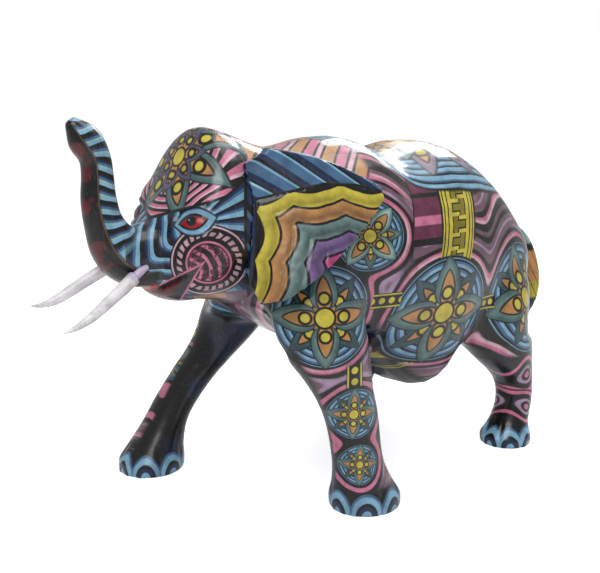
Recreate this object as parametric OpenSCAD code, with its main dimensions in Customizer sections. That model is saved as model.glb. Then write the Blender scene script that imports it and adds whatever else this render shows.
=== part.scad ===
// Painted wooden elephant, glued up from carved blocks, with applied ears, tusks and tail.
// The head points to -X, the animal's left side faces -Y, and the four soles stand on Z = 0.
// The origin is the middle of the figure's footprint box, on the surface it stands on.

/* [Body] */
// Width of the body at the belly
belly_w = 120; // [116:1:124]
// Distance from the body's middle to the flats that the leg blocks are glued on
leg_seat_y = 22; // [20:1:24]

/* [Head] */
// Width of the head at the ears
head_w = 72; // [68:1:76]
// Thickness of an ear
ear_t = 5; // [4:0.5:6]

/* [Tusks and tail] */
// Thickness of a tusk where it leaves the lip
tusk_d = 6.4; // [5.6:0.2:7.2]
// Diameter of the round tenon of a tusk
tusk_tenon_d = 4; // [3:0.5:5]
// Thickness of the tail at its thickest
tail_d = 13; // [11:1:14]
// Diameter of the round tenon of the tail
tail_tenon_d = 6; // [5:0.5:7]

/* [Dowels] */
// Diameter of the leg and neck dowels
dowel_d = 10; // [8:1:12]
// Length of a leg dowel
leg_dowel_l = 34; // [28:1:36]
// Length of a neck dowel
neck_dowel_l = 44; // [36:1:50]
// Diameter of the trunk dowel
trunk_dowel_d = 6; // [5:1:8]
// Length of the trunk dowel
trunk_dowel_l = 28; // [24:1:30]
// Glue gap round each dowel and tenon
glue_gap = 0.1; // [0.05:0.05:0.2]

/* [Hidden] */

$fn = 48;

// From the carving's own datum to the middle of its footprint box
middle_x = 31.95;

// Planes of the glued neck and trunk joints
neck_x = -46;
trunk_x = -88;

// Torso sections by x: [height of the widest line, half width, rise to the back, drop to the belly]
torso_keys = [
    [neck_x, [140, 35, 46, 38]], [-33, [136, 41, 45, 43]], [-18, [132, 46, 46, 48]], [-6, [129, 49, 50, 52]],
    [10, [126, 52, 56, 54]], [28, [122, 56, 60, 56]], [48, [118, 59, 56, 64]], [66, [116, 60, 61, 75]],
    [76, [116, 60, 63, 79]], [84, [116, 59, 63, 72]], [94, [116, 58, 62, 66]], [105, [115, 56, 59, 63]],
    [121, [112, 54, 52, 54]], [138, [110, 49, 36, 44]], [150, [107, 42, 28, 36]], [160, [104, 33, 20, 27]],
    [169, [102, 21, 12, 17]], [174, [101, 8, 4, 6]]
];

// Head sections by x, in the same form, from the trunk's joint face back
head_keys = [
    [trunk_x, [128, 17, 16, 15]], [-84, [130, 24, 20, 20]], [-79, [134, 30, 23, 26]],
    [-73, [136, 34, 31, 29]], [-66, [138, 36, 43, 31]], [-60, [139, 36, 49, 33]], [-52, [140, 36, 48, 36]],
    [neck_x, [140, 35, 46, 38]]
];

// Leg sections by height: [x, y, half length, half width], on the animal's left side
front_left_keys = [
    [0, [2, -55, 19, 18]], [4, [2, -55, 19.5, 18.5]], [12, [0, -55, 16, 15.5]], [25, [-3.5, -55, 13, 13]],
    [50, [-8, -54, 14, 13.5]], [69, [-14, -51, 18, 16]], [85, [-18, -46, 25, 20]],
    [100, [-18, -40, 28, 23]], [115, [-16, -34, 27, 22]], [130, [-10, -28, 24, 18]], [142, [-6, -24, 16, 12]]
];
front_right_keys = [
    [0, [-58, -55, 18.5, 18]], [4, [-58, -55, 19, 18.5]], [12, [-55, -55, 16, 15.5]], [25, [-48, -55, 12.5, 12.5]],
    [35, [-41, -55, 12.5, 12.5]], [50, [-29, -53, 14, 13]], [68, [-12, -50, 17.5, 16]], [85, [-4, -45, 21.5, 20]],
    [100, [-2, -40, 24, 23]], [115, [-1, -34, 24, 22]], [130, [-3, -28, 22, 18]], [142, [-5, -24, 16, 12]]
];
hind_left_keys = [
    [0, [125.5, -49, 15, 15]], [4, [125.5, -49, 15.5, 15.5]], [12, [128, -49, 11, 12]], [25, [132, -49, 9, 11.5]],
    [38, [131, -48, 10, 13]], [55, [122, -46, 20, 17]], [75, [115, -41, 33, 22]],
    [95, [118, -35, 34, 24]], [115, [118, -29, 29, 21]], [130, [116, -22, 17, 13]]
];
hind_right_keys = [
    [0, [87, -50, 15, 15]], [4, [87, -50, 15.5, 15.5]], [12, [90, -50, 12, 12]], [25, [96, -49, 11, 11.5]],
    [38, [103, -48, 12.5, 13]], [55, [109, -46, 20, 17]], [75, [113, -41, 31, 22]],
    [95, [116, -35, 34, 24]], [115, [118, -29, 29, 21]], [130, [116, -22, 17, 13]]
];

// Trunk from the face to the tip: [x, z, radius], by station
trunk_keys = [
    [0, [-74, 134, 15]], [1, [-85, 131, 15.5]], [2, [-96, 131.5, 14.5]], [3, [-104, 137, 12]],
    [4, [-109, 147, 9]], [5, [-111, 158, 8]], [6, [-111, 168, 7.2]], [7, [-112, 177, 7]], [8, [-117, 185, 7.4]],
    [9, [-123, 192.5, 2.5]]
];

// Tail from the rump to the tip: [x, y, z, share of the full thickness], by station
tail_keys = [
    [0, [168, 0, 116, 0.8]], [1, [184, -1, 117, 0.85]], [2, [195, -4, 108, 0.92]], [3, [198.5, -8, 92, 1]],
    [4, [194, -12, 75, 0.92]], [5, [182, -15, 61, 0.45]]
];

// Left tusk from the lip to the tip: [x, y, z, share of the full thickness], by station
tusk_keys = [
    [0, [-102, -13.5, 124, 1]], [1, [-111, -16, 119, 0.95]], [2, [-124, -18, 112, 0.8]], [3, [-133, -19, 109, 0.5]],
    [4, [-141, -20, 108.5, 0.12]]
];

// Left ear: front edge, buried in the head, and free edge, both from the bottom round to the top, as [x, y, z]
ear_front = [[0, [-55, -27, 115]], [0.5, [-57, -31, 145]], [1, [-53, -23, 171]]];
ear_free = [
    [0, [-55, -43, 109]], [0.15, [-48, -54, 113]], [0.3, [-31, -60, 125]], [0.5, [-8, -60.5, 142]],
    [0.7, [6, -59.5, 159]], [0.8, [-8, -53, 168]], [0.9, [-26, -46, 176]], [1, [-46, -36, 180]]
];
ear_bow = 5;

// Seats cut from the torso for the leg blocks: [front x, rear x, top z, chest z], where a block's
// front edge slopes back under the chest below the chest's height, and the height where a leg's own
// oval grows into the shoulder or haunch on its block
front_seat = [-44, 27, 140, 104];
hind_seat = [81, 154, 130, 0];
front_grow_z = 84;
hind_grow_z = 68;
chest_slope = 1.3;

// Centres of the dowels: [x, z] on the leg seats, [y, z] on the neck joint
front_dowel_at = [-8, 110];
hind_dowel_at = [116, 98];
neck_dowels_at = [[0, 124], [0, 162]];
trunk_dowel_z = 131;

// Tenons of the tusks and the tail: where each leaves its piece, and how deep they go
tusk_root = [-106.5, -14.75, 121.5];
tusk_pitch = 28;
tusk_yaw = 15.5;
tusk_tenon_l = 14;
tail_root_x = 172;
tail_root_z = 114;
tenon_l = 9;

dowel_end_gap = 0.5;
far = 300;

// Thinnest edge of a leg block over its seat
block_edge = 1;

// How square the torso's sections are above and below their widest line, 1 being an ellipse
torso_above = 0.9;
torso_below = 0.68;

// Cubic through keyed values, where a value may be a list
function key_index(t, k, i = 0) = i >= len(k) - 2 || t < k[i + 1][0] ? i : key_index(t, k, i + 1);
function slope(k, i) =
    let (a = k[max(i - 1, 0)], b = k[min(i + 1, len(k) - 1)]) (b[1] - a[1]) / (b[0] - a[0]);
function through(t, k) =
    let (i = key_index(t, k), h = k[i + 1][0] - k[i][0], u = (t - k[i][0]) / h)
    (1 + 2 * u) * pow(1 - u, 2) * k[i][1] + u * pow(1 - u, 2) * h * slope(k, i)
    + u * u * (3 - 2 * u) * k[i + 1][1] + u * u * (u - 1) * h * slope(k, i + 1);

// Evenly spaced values from lo to hi
function steps(lo, hi, n) = [for (i = [0:n]) lo + (hi - lo) * i / n];

// Keyed sections with their half widths scaled
function widened(k, f) = [for (q = k) [q[0], [q[1][0], q[1][1] * f, q[1][2], q[1][3]]]];

// Closed solid through rings of points, all with the same count, each ring turning the same way
module loft(rings) {
    n = len(rings[0]);
    m = len(rings);
    sides = [
        for (j = [0:m - 2], i = [0:n - 1])
            let (a = j * n + i, b = j * n + (i + 1) % n, c = b + n, d = a + n)
            each [[a, c, b], [a, d, c]]
    ];
    first = [for (i = [0:n - 1]) i];
    last = [for (i = [n:-1:1]) (m - 1) * n + i % n];
    polyhedron(points = [for (r = rings) each r], faces = concat(sides, [first, last]), convexity = 8);
}

// Ring across the body at x, from [height of the widest line, half width, rise, drop],
// with how square its upper and its lower half are, 1 being an ellipse
function body_ring(x, s, n, above, below) = [
    for (i = [0:n - 1])
        let (a = 360 * i / n, c = cos(a), u = sin(a), up = u > 0)
        [x, s[1] * sign(c) * pow(abs(c), up ? above : below), s[0] + (up ? s[2] : s[3]) * u]
];

// Half width of the torso at x and z
function torso_half(x, z) =
    let (s = through(x, widened(torso_keys, belly_w / 120)), up = z > s[0], u = (z - s[0]) / (up ? s[2] : s[3]))
    abs(u) >= 1 ? 0 : s[1] * pow(1 - u * u, (up ? torso_above : torso_below) / 2);

// Distance of a leg's outer side from the middle plane at x, as a half oval that stands on a base
// plane, for the oval [x, y, half length, half width]
function leg_half(x, s, base) =
    let (u = (x - s[0]) / s[2])
    u >= 1 ? 0 : base + (s[3] - s[1] - base) * sqrt(max(1 - u * u, 0));

// Ring of a leg at height z: its own oval below, and above grow_z a flat on the seat with the
// outer side that shoulder and torso share, where the oval still shows at the front under the chest
function leg_ring(z, k, seat, grow_z, n) =
    let (
        s = through(z, k), h = n / 2, below = max(seat[3] - z, 0), own = below / max(seat[3] - grow_z, 1),
        front = seat[0] + own * (s[0] - s[2] - seat[0]), inner = max(front, seat[0] + chest_slope * below),
        base = leg_seat_y + own * (-s[1] - leg_seat_y)
    )
    z < grow_z ? [for (i = [0:n - 1]) let (a = 180 + 360 * i / n) [s[0] + s[2] * cos(a), s[1] + s[3] * sin(a), z]]
    : concat(
        [
            for (i = [0:h])
                let (x = (front + seat[1]) / 2 - (seat[1] - front) / 2 * cos(180 * i / h))
                [x, -max(leg_seat_y + block_edge, torso_half(x, z), leg_half(x, s, base)), z]
        ],
        [
            for (i = [1:h - 1])
                let (x = (inner + seat[1]) / 2 + (seat[1] - inner) / 2 * cos(180 * i / h))
                [x, -leg_seat_y, z]
        ]
    );

// Ring round a path of [x, y, z, radius], square to it in side view
function path_ring(t, k, n) =
    let (
        span = k[len(k) - 1][0], p = through(t, k),
        a = through(max(t - 0.02, 0), k), b = through(min(t + 0.02, span), k),
        l = norm([b[0] - a[0], b[2] - a[2]]), dx = (b[0] - a[0]) / l, dz = (b[2] - a[2]) / l
    )
    [
        for (i = [0:n - 1])
            let (w = 360 * i / n)
            [p[0] - dz * p[3] * cos(w), p[1] - p[3] * sin(w), p[2] + dx * p[3] * cos(w)]
    ];

// Keyed path with its thickness shares turned into radii
function with_radius(k, d) = [for (q = k) [q[0], [q[1][0], q[1][1], q[1][2], q[1][3] * d / 2]]];

// Every piece is modelled from the carving's datum and then brought over the origin
module placed() translate([-middle_x, 0, 0]) children();
module right_side() mirror([0, 1, 0]) children();

module torso_skin()
    loft([
        for (x = steps(neck_x, 174, 38))
            body_ring(x, through(x, widened(torso_keys, belly_w / 120)), 36, torso_above, torso_below)
    ]);

module head_skin()
    loft([for (x = steps(trunk_x, neck_x, 14)) body_ring(x, through(x, widened(head_keys, head_w / 72)), 32, 1, 1)]);

module leg_skin(k, seat, grow_z)
    loft([
        for (z = concat(steps(0, grow_z - 4, 14), steps(grow_z, seat[2], 9)))
            leg_ring(z, k, seat, grow_z, 28)
    ]);

module trunk_skin()
    loft([
        for (t = steps(0, 9, 30))
            path_ring(t, [for (q = trunk_keys) [q[0], [q[1][0], 0, q[1][1], q[1][2]]]], 20)
    ]);

module tusk_skin() loft([for (t = steps(0, 4, 14)) path_ring(t, with_radius(tusk_keys, tusk_d), 14)]);

module tail_skin() loft([for (t = steps(0, 5, 16)) path_ring(t, with_radius(tail_keys, tail_d), 14)]);

// Closed sheet between the front edge and the free edge, bowed outwards
module ear_skin() {
    nu = 8;
    nv = 18;
    function middle(u, v) =
        let (a = through(v, ear_front), b = through(v, ear_free))
        a + u * (b - a) - [0, ear_bow * sin(180 * u), 0];
    loft([
        for (j = [0:nv]) concat(
            [for (i = [0:nu]) middle(i / nu, j / nv) - [0, ear_t / 2, 0]],
            [for (i = [nu:-1:0]) middle(i / nu, j / nv) + [0, ear_t / 2, 0]]
        )
    ]);
}

// A dowel on its own axis, and the hole it is glued into
module dowel(d, l) cylinder(d = d, h = l, center = true);
module dowel_hole(d, l) cylinder(d = d + 2 * glue_gap, h = l + 2 * dowel_end_gap, center = true);

// Put their children on the axis of a joint
module at_leg_dowel(p) translate([p[0], -leg_seat_y, p[1]]) rotate([90, 0, 0]) children();
module at_neck_dowels() for (p = neck_dowels_at) translate([neck_x, p[0], p[1]]) rotate([0, 90, 0]) children();
module at_trunk_dowel() translate([trunk_x, 0, trunk_dowel_z]) rotate([0, 90, 0]) children();

// Round tenon of the left tusk, and of the tail
module tusk_tenon(gap = 0)
    translate(tusk_root) rotate([0, 90 - tusk_pitch, tusk_yaw]) translate([0, 0, -gap])
        cylinder(d = tusk_tenon_d + 2 * gap, h = tusk_tenon_l + 2 * gap);
module tail_tenon(gap = 0)
    translate([tail_root_x - tenon_l - gap, 0, tail_root_z]) rotate([0, 90, 0])
        cylinder(d = tail_tenon_d + 2 * gap, h = tenon_l + gap);

// Room in the torso for a leg block
module seat(s) translate([s[0], -far, -far]) cube([s[1] - s[0], far - leg_seat_y, far + s[2]]);

// A leg with the shoulder or haunch that is carved on the same block
module leg(k, seat, grow_z, dowel_at) {
    difference() {
        leg_skin(k, seat, grow_z);
        at_leg_dowel(dowel_at) dowel_hole(dowel_d, leg_dowel_l);
    }
}

module front_left_leg() color("slategray") leg(front_left_keys, front_seat, front_grow_z, front_dowel_at);
module front_right_leg()
    color("midnightblue") right_side() leg(front_right_keys, front_seat, front_grow_z, front_dowel_at);
module hind_left_leg() color("rosybrown") leg(hind_left_keys, hind_seat, hind_grow_z, hind_dowel_at);
module hind_right_leg()
    color("dimgray") right_side() leg(hind_right_keys, hind_seat, hind_grow_z, hind_dowel_at);

// The dowel holes of one side of the torso
module side_holes() {
    at_leg_dowel(front_dowel_at) dowel_hole(dowel_d, leg_dowel_l);
    at_leg_dowel(hind_dowel_at) dowel_hole(dowel_d, leg_dowel_l);
}

// Body block cut back to the flats for the legs
module torso_block() {
    difference() {
        torso_skin();
        seat(front_seat);
        seat(hind_seat);
        right_side() seat(front_seat);
        right_side() seat(hind_seat);
    }
}

// Body block with holes for every piece that is let into it
module torso() {
    color("thistle") difference() {
        torso_block();
        side_holes();
        right_side() side_holes();
        at_neck_dowels() dowel_hole(dowel_d, neck_dowel_l);
        tail_tenon(glue_gap);
    }
}

// Head and lower jaw, drilled for its dowels
module head() {
    color("cornflowerblue") difference() {
        head_skin();
        at_neck_dowels() dowel_hole(dowel_d, neck_dowel_l);
        at_trunk_dowel() dowel_hole(trunk_dowel_d, trunk_dowel_l);
    }
}

// Trunk beyond its glued joint, drilled for the tusks that stand at its lip
module trunk() {
    color("steelblue") difference() {
        trunk_skin();
        translate([trunk_x, -far, -far]) cube(2 * far);
        tusk_tenon(glue_gap);
        right_side() tusk_tenon(glue_gap);
        at_trunk_dowel() dowel_hole(trunk_dowel_d, trunk_dowel_l);
    }
}

// Ear, its front edge carved hollow to sit against the side of the head
module ear() {
    color("gold") difference() {
        ear_skin();
        head_skin();
    }
}
module left_ear() ear();
module right_ear() right_side() ear();

// Tusk with its tenon
module tusk() {
    color("ivory") {
        tusk_skin();
        tusk_tenon();
    }
}
module left_tusk() tusk();
module right_tusk() right_side() tusk();

module tail() {
    color("yellowgreen") {
        difference() {
            tail_skin();
            torso_skin();
        }
        tail_tenon();
    }
}

module neck_dowels() color("burlywood") at_neck_dowels() dowel(dowel_d, neck_dowel_l);
module trunk_dowel() color("burlywood") at_trunk_dowel() dowel(trunk_dowel_d, trunk_dowel_l);
module leg_dowel(p) color("burlywood") at_leg_dowel(p) dowel(dowel_d, leg_dowel_l);

placed() torso();
placed() head();
placed() trunk();
placed() left_ear();
placed() right_ear();
placed() left_tusk();
placed() right_tusk();
placed() tail();
placed() front_left_leg();
placed() front_right_leg();
placed() hind_left_leg();
placed() hind_right_leg();
placed() neck_dowels();
placed() trunk_dowel();
placed() leg_dowel(front_dowel_at);  // front_left_dowel
placed() right_side() leg_dowel(front_dowel_at);  // front_right_dowel
placed() leg_dowel(hind_dowel_at);  // hind_left_dowel
placed() right_side() leg_dowel(hind_dowel_at);  // hind_right_dowel
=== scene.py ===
"""Looks of the painted wooden elephant: its carved skin, ears, tusks and tail, and all its painted decor.

Every place is in the part's own frame. The carving lengths are in millimetres and become metres at MM.
"""

import logging
import math
from dataclasses import dataclass
from enum import Enum
from typing import Callable, Sequence, Union

import bpy
import numpy as np
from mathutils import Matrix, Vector


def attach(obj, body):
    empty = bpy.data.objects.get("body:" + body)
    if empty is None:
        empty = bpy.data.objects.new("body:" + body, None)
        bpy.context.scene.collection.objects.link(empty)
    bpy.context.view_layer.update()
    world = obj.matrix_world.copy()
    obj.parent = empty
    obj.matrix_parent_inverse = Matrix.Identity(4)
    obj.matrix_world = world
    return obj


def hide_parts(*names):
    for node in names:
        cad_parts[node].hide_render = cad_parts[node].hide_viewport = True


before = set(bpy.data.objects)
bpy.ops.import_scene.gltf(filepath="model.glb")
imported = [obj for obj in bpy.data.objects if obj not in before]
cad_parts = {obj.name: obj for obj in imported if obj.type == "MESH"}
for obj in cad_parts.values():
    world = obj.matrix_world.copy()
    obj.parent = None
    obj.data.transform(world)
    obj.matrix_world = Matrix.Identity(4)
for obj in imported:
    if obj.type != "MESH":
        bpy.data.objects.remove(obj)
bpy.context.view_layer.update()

LOG = logging.getLogger("elephant")
MM = 0.001

Number = Union[float, "Field"]
Coat = bpy.types.NodeSocket
Stops = Sequence[tuple[float, "Shade"]]
Point3 = tuple[float, float, float]
Boxes = Sequence[Sequence[Sequence[float]]]


class Shade(Enum):
    """The paints on the maker's palette, as they look dry."""

    BLACK = (0.03, 0.03, 0.038)
    GREY = (0.2, 0.2, 0.22)
    NAVY = (0.08, 0.16, 0.3)
    BLUE = (0.27, 0.42, 0.56)
    SKY = (0.5, 0.69, 0.8)
    MINT = (0.58, 0.72, 0.68)
    TEAL = (0.4, 0.51, 0.5)
    SEA = (0.2, 0.32, 0.34)
    YELLOW = (0.8, 0.74, 0.26)
    OLIVE = (0.52, 0.48, 0.1)
    OCHRE = (0.74, 0.53, 0.31)
    LILAC = (0.66, 0.55, 0.66)
    VIOLET = (0.46, 0.36, 0.55)
    MAUVE = (0.44, 0.33, 0.38)
    BLUSH = (0.85, 0.69, 0.73)
    ROSE = (0.8, 0.45, 0.57)
    MAGENTA = (0.75, 0.26, 0.52)
    PLUM = (0.4, 0.15, 0.27)
    RED = (0.62, 0.07, 0.1)
    BLOOD = (0.34, 0.05, 0.07)
    WOOD = (0.83, 0.68, 0.48)
    RESIN = (0.93, 0.92, 0.93)
    # painted shade: the violet laid along the tops of the tusks
    VIOLET_TIP = (0.7, 0.68, 0.83)


def linear(shade: Shade) -> tuple[float, float, float, float]:
    """Colour of a paint for a shader socket.

    Args:
        shade: The paint.

    Returns:
        Its linear red, green, blue and alpha.
    """
    parts = [c / 12.92 if c <= 0.04045 else ((c + 0.055) / 1.055) ** 2.4 for c in shade.value]
    return (parts[0], parts[1], parts[2], 1.0)


# ---------------------------------------------------------------- shader formulas


class Field:
    """A number that varies over a surface. Its sums add Math nodes to the tree that it lives in."""

    def __init__(self, tree: bpy.types.NodeTree, socket: bpy.types.NodeSocket) -> None:
        """Wraps a socket that gives a number."""
        self.tree = tree
        self.socket = socket

    def math(self, operation: str, *others: Number, clamp: bool = False) -> "Field":
        """Adds one Math node.

        Args:
            operation: The node's operation.
            others: Its further inputs.
            clamp: Whether its result stays between 0 and 1.

        Returns:
            The node's result.
        """
        node = self.tree.nodes.new("ShaderNodeMath")
        node.operation = operation
        node.use_clamp = clamp
        for index, value in enumerate((self, *others)):
            if isinstance(value, Field):
                self.tree.links.new(value.socket, node.inputs[index])
            else:
                node.inputs[index].default_value = value
        return Field(self.tree, node.outputs[0])

    def __add__(self, other: Number) -> "Field":
        """Sum."""
        return self.math("ADD", other)

    def __sub__(self, other: Number) -> "Field":
        """Difference."""
        return self.math("SUBTRACT", other)

    def __mul__(self, other: Number) -> "Field":
        """Product."""
        return self.math("MULTIPLY", other)

    def __truediv__(self, other: Number) -> "Field":
        """Quotient."""
        return self.math("DIVIDE", other)

    def __abs__(self) -> "Field":
        """Size without its sign."""
        return self.math("ABSOLUTE")

    def __neg__(self) -> "Field":
        """Opposite."""
        return self.math("MULTIPLY", -1.0)

    def least(self, other: Number) -> "Field":
        """Smaller of two."""
        return self.math("MINIMUM", other)

    def most(self, other: Number) -> "Field":
        """Larger of two."""
        return self.math("MAXIMUM", other)

    def cycle(self, period: float) -> "Field":
        """Share of the way through a repeat of that period."""
        return (self / period).math("FRACT")

    def above(self, edge: Number, soft: float = 0.3) -> "Field":
        """Mask that is 1 past an edge, with a soft step that wide."""
        return ((self - edge) / soft).math("ADD", 0.5, clamp=True)

    def below(self, edge: Number, soft: float = 0.3) -> "Field":
        """Mask that is 1 short of an edge."""
        return (-(self - edge) / soft).math("ADD", 0.5, clamp=True)

    def between(self, low: Number, high: Number, soft: float = 0.3) -> "Field":
        """Mask that is 1 between two edges."""
        return self.above(low, soft) * self.below(high, soft)


def length_of(a: Field, b: Field) -> Field:
    """Distance from the middle at two offsets that are square to each other."""
    return (a * a + b * b).math("SQRT")


class Brush:
    """Paints one node tree: it makes fields, and lays paint over paint."""

    def __init__(self, tree: bpy.types.NodeTree) -> None:
        """Starts on a node tree."""
        self.tree = tree

    def place(self) -> tuple[Field, Field, Field]:
        """Position on the piece in millimetres, as x, distance from the middle plane, and z."""
        coordinates = self.tree.nodes.new("ShaderNodeTexCoord")
        split = self.tree.nodes.new("ShaderNodeSeparateXYZ")
        self.tree.links.new(coordinates.outputs["Object"], split.inputs[0])
        x, y, z = (Field(self.tree, s) * 1000.0 for s in split.outputs)
        return x, abs(y), z

    def attribute(self, name: str) -> Field:
        """Field that the piece's mesh carries."""
        node = self.tree.nodes.new("ShaderNodeAttribute")
        node.attribute_name = name
        return Field(self.tree, node.outputs["Fac"])

    def noise(self, x: Field, y: Field, z: Field, scale: float, detail: float = 2.0) -> Field:
        """Smooth noise about 0, at that many waves a millimetre."""
        join = self.tree.nodes.new("ShaderNodeCombineXYZ")
        for socket, value in zip(join.inputs, (x, y, z)):
            self.tree.links.new(value.socket, socket)
        node = self.tree.nodes.new("ShaderNodeTexNoise")
        node.inputs["Scale"].default_value = scale
        node.inputs["Detail"].default_value = detail
        self.tree.links.new(join.outputs[0], node.inputs["Vector"])
        return Field(self.tree, node.outputs["Fac"]) - 0.5

    def fill(self, shade: Shade) -> Coat:
        """A flat coat to paint on."""
        node = self.tree.nodes.new("ShaderNodeRGB")
        node.outputs[0].default_value = linear(shade)
        return node.outputs[0]

    def over(self, under: Coat, mask: Field, paint: Union[Shade, Coat],
             how: str = "MIX") -> Coat:
        """Lays paint over what is there.

        Args:
            under: The coat below.
            mask: Where the paint goes.
            paint: The paint.
            how: The way that the two mix.

        Returns:
            The painted coat.
        """
        node = self.tree.nodes.new("ShaderNodeMix")
        node.data_type = "RGBA"
        node.blend_type = how
        self.tree.links.new(mask.socket, node.inputs[0])
        self.tree.links.new(under, node.inputs[6])
        if isinstance(paint, Shade):
            node.inputs[7].default_value = linear(paint)
        else:
            self.tree.links.new(paint, node.inputs[7])
        return node.outputs[2]

    def layers(self, coat: Coat, *steps: tuple[Field, Union[Shade, Coat]]) -> Coat:
        """Lays several paints over a coat in order, each with its mask."""
        for mask, paint in steps:
            coat = self.over(coat, mask, paint)
        return coat

    def stripes(self, phase: Field, stops: Stops) -> Coat:
        """Hard-edged bands of paint along a phase from 0 to 1.

        Args:
            phase: How far through the repeat each point is.
            stops: Where each band starts, and its paint.

        Returns:
            The bands.
        """
        node = self.tree.nodes.new("ShaderNodeValToRGB")
        node.color_ramp.interpolation = "LINEAR"
        ramp = node.color_ramp
        edge = 0.014
        points = []
        for index, (start, shade) in enumerate(stops):
            end = stops[index + 1][0] if index + 1 < len(stops) else 1.0
            points += [(start + edge, shade), (max(end - edge, start + edge), shade)]
        while len(ramp.elements) > 1:
            ramp.elements.remove(ramp.elements[-1])
        ramp.elements[0].position = points[0][0]
        ramp.elements[0].color = linear(points[0][1])
        for position, shade in points[1:]:
            ramp.elements.new(min(position, 1.0)).color = linear(shade)
        self.tree.links.new(phase.socket, node.inputs[0])
        return node.outputs[0]

    def group(self, group: bpy.types.NodeTree, values: dict[str, Union[Number, Coat, Shade]]
              ) -> bpy.types.ShaderNodeGroup:
        """Places a node group with its own values."""
        node = self.tree.nodes.new("ShaderNodeGroup")
        node.node_tree = group
        for name, value in values.items():
            if isinstance(value, Field):
                self.tree.links.new(value.socket, node.inputs[name])
            elif isinstance(value, Shade):
                node.inputs[name].default_value = linear(value)
            elif isinstance(value, bpy.types.NodeSocket):
                self.tree.links.new(value, node.inputs[name])
            else:
                node.inputs[name].default_value = value
        return node


class Group:
    """A shader node group while it is being made."""

    def __init__(self, name: str, numbers: Sequence[str], colours: Sequence[str],
                 outputs: dict[str, str]) -> None:
        """Makes an empty group.

        Args:
            name: Its name.
            numbers: Its number inputs.
            colours: Its colour inputs.
            outputs: The kind of each output by its name.
        """
        self.tree = bpy.data.node_groups.new(name, "ShaderNodeTree")
        for item in numbers:
            self.tree.interface.new_socket(item, in_out="INPUT", socket_type="NodeSocketFloat")
        for item in colours:
            self.tree.interface.new_socket(item, in_out="INPUT", socket_type="NodeSocketColor")
        for item, kind in outputs.items():
            self.tree.interface.new_socket(item, in_out="OUTPUT", socket_type=kind)
        self.given = self.tree.nodes.new("NodeGroupInput")
        self.made = self.tree.nodes.new("NodeGroupOutput")
        self.brush = Brush(self.tree)

    def number(self, name: str) -> Field:
        """One of its number inputs."""
        return Field(self.tree, self.given.outputs[name])

    def colour(self, name: str) -> Coat:
        """One of its colour inputs."""
        return self.given.outputs[name]

    def give(self, name: str, value: Union[Field, Coat]) -> None:
        """Sets one of its outputs."""
        socket = value.socket if isinstance(value, Field) else value
        self.tree.links.new(socket, self.made.inputs[name])


# ---------------------------------------------------------------- painted motifs


@dataclass(frozen=True)
class Petal:
    """One painted petal: an outer leaf, an inner leaf and a seed, in shares of its wheel's radius."""

    root: float
    tip: float
    half: float
    seed_at: float
    seed: float
    line: float = 0.035

    def inside(self, along: Field, side: Field, long: float, wide: float) -> Field:
        """How far inside its outline a point is.

        Args:
            along: Distance from the wheel's middle along the petal.
            side: Distance from its mid line.
            long: Share of its length that the outline keeps.
            wide: Share of its width that the outline keeps.

        Returns:
            The distance, below 0 outside.
        """
        tip = self.root + (self.tip - self.root) * long
        way = ((along - self.root) / (tip - self.root)).most(0.0).least(1.0)
        bulge = way.math("POWER", 0.45) * (-way + 1.0).math("POWER", 0.8) * (self.half * wide * 1.95)
        return bulge - side - (along - tip).most(0.0) - (-along + self.root).most(0.0)

    def paint(self, brush: Brush, under: Coat, along: Field, side: Field,
              outer: Union[Shade, Coat], inner: Union[Shade, Coat]
              ) -> Coat:
        """Paints it, with black outlines.

        Args:
            brush: The brush of the tree.
            under: The coat below.
            along: Distance from the wheel's middle along the petal.
            side: Distance from its mid line.
            outer: Paint of the outer leaf.
            inner: Paint of the inner leaf.

        Returns:
            The painted coat.
        """
        soft = 0.02
        leaf = self.inside(along, side, 1.0, 1.0)
        heart = self.inside(along, side, 0.72, 0.52)
        coat = brush.over(under, leaf.above(-0.5 * self.line, soft), Shade.BLACK)
        coat = brush.layers(
            coat,
            (leaf.above(0.5 * self.line, soft), outer),
            (leaf.between(0.5 * self.line, 2.2 * self.line, 0.07) * 0.8, Shade.SEA),
            (heart.above(-0.9 * self.line, soft), Shade.BLACK),
            (heart.above(0.2 * self.line, soft), inner))
        reach = length_of(along - self.seed_at, side)
        coat = brush.over(coat, reach.below(self.seed + 1.7 * self.line, soft), Shade.BLACK)
        return brush.over(coat, reach.below(self.seed, soft), Shade.YELLOW)


def flower_wheel() -> bpy.types.NodeTree:
    """Node group of a flower wheel: a striped disc, eight petals and a round middle."""
    group = Group("flower_wheel", ["Across", "Up"], ["Petal", "Leaf"],
                  {"Color": "NodeSocketColor", "Inside": "NodeSocketFloat"})
    brush = group.brush
    across, up = abs(group.number("Across")), abs(group.number("Up"))
    reach = length_of(across, up)
    disc = brush.stripes((reach * 7.5 + 0.22).math("FRACT"),
                         [(0.0, Shade.BLACK), (0.28, Shade.SKY), (0.68, Shade.BLUE)])
    disc = brush.over(disc, reach.above(0.955, 0.02), Shade.BLACK)
    slant_a, slant_b = (across + up) * math.sqrt(0.5), abs(across - up) * math.sqrt(0.5)
    between = Petal(root=0.14, tip=0.9, half=0.22, seed_at=0.4, seed=0.075, line=0.03)
    long = Petal(root=0.15, tip=0.99, half=0.31, seed_at=0.36, seed=0.085, line=0.03)
    coat = between.paint(brush, disc, slant_a, slant_b, group.colour("Leaf"), Shade.OCHRE)
    coat = long.paint(brush, coat, across.most(up), across.least(up), group.colour("Petal"), Shade.OCHRE)
    coat = brush.over(coat, reach.below(0.215, 0.02), Shade.BLACK)
    coat = brush.over(coat, reach.below(0.17, 0.02), Shade.YELLOW)
    group.give("Color", coat)
    group.give("Inside", reach.below(1.0, 0.02))
    return group.tree


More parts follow.
